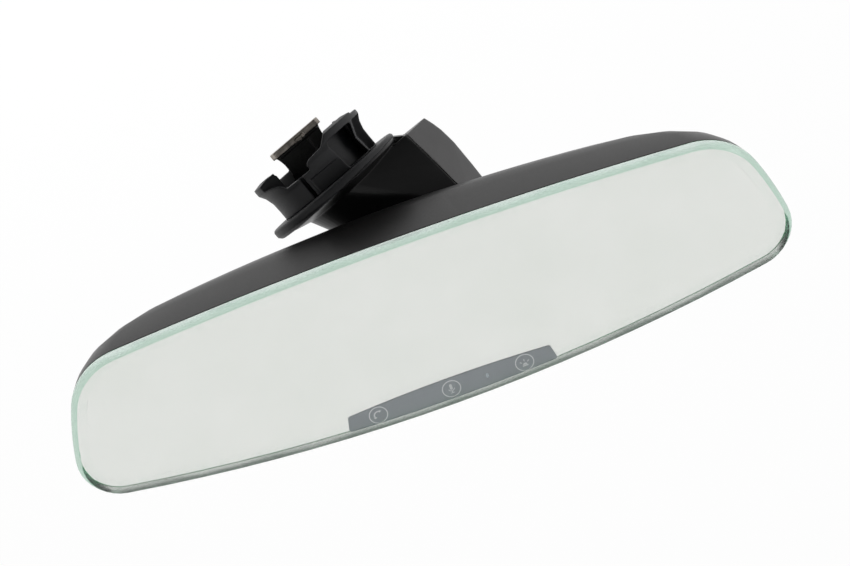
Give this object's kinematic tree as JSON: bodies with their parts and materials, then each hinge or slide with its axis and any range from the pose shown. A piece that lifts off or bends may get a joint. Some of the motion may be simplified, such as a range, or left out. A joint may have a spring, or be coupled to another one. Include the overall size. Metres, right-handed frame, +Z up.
{
  "type": "interior rearview mirror",
  "caption": "Frameless interior rearview mirror with touch icons along the lower edge of the glass, a ball jointed head and a faired arm that ends in a bayonet foot.",
  "frame": {"origin": "centre of the hammerhead's flat top, which bears on the windscreen's mounting plate", "axes": "+X along the glass, to the driver's right when facing it; -Y is the way the glass faces; +Z is up along the glass's short side. The foot leans away from the head."},
  "size_m": [0.254, 0.0791, 0.0931],
  "materials": {
    "clear_glass": "polished, ground edge",
    "mirror_glass": "silvered and polished",
    "cell_resin": "smooth",
    "mask_paint": "satin print",
    "symbol_print": "satin print",
    "led_tint": "smooth",
    "spring_brass": "plated",
    "foam": "foam",
    "clear_plastic": "smooth",
    "circuit_board": "solder mask",
    "chip_plastic": "moulded",
    "housing_plastic": "fine grain",
    "carrier_plastic": "moulded",
    "steel": "zinc plated",
    "gold_plate": "gold plated",
    "seal_rubber": "soft",
    "ribbon_film": "film",
    "socket_plastic": "moulded",
    "liner_plastic": "smooth",
    "foot_plastic": "fine grain",
    "cover_plastic": "fine grain",
    "arm_plastic": "polished",
    "cast_zinc": "as cast, dull"
  },
  "bodies": {
    "mount": {"stud_bush": "liner_plastic", "friction_washer": "steel", "arm_shell": "arm_plastic", "arm_cover": "cover_plastic", "foot_disc": "foot_plastic", "bayonet_hub": "foot_plastic", "hammerhead": "cast_zinc", "foot_screws": "steel", "hammer_screws": "steel"},
    "stud": {"ball_stud": "steel", "stud_clip": "steel"},
    "liner": {"ball_liner": "liner_plastic"},
    "head": {"front_glass": "clear_glass", "cell_seal": "cell_resin", "icon_mask": "mask_paint", "icon_symbols": "symbol_print", "led_window": "led_tint", "rear_glass": "mirror_glass", "bus_clip_top": "spring_brass", "bus_clip_bottom": "spring_brass", "foam_pad": "foam", "light_guide": "clear_plastic", "touch_board": "circuit_board", "leds": "clear_plastic", "glass_carrier": "carrier_plastic", "rear_housing": "housing_plastic", "carrier_screws": "steel", "main_board": "circuit_board", "board_chips": "chip_plastic", "board_screws": "steel", "glare_sensor": "chip_plastic", "ambient_sensor": "chip_plastic", "sensor_lens": "clear_plastic", "connector_header": "chip_plastic", "connector_pins": "gold_plate", "microphones": "steel", "mic_gaskets": "seal_rubber", "flex_ribbon": "ribbon_film", "ball_socket": "socket_plastic", "socket_ring": "socket_plastic", "socket_screws": "steel"}
  },
  "joints": [
    {"name": "swivel", "type": "hinge", "parent": "mount", "child": "stud", "pos_m": [0.02199, -0.02486, -0.05308], "axis": [-0.3512, 0.3971, 0.8479], "range_deg": [-20, 12]},
    {"name": "pitch", "type": "hinge", "parent": "stud", "child": "liner", "pos_m": [0.02199, -0.02486, -0.05308], "axis": [1, 0, 0], "range_deg": [-4, 14]},
    {"name": "roll", "type": "hinge", "parent": "liner", "child": "head", "pos_m": [0.02199, -0.02486, -0.05308], "axis": [0, 1, 0], "range_deg": [-14, 2]}
  ]
}
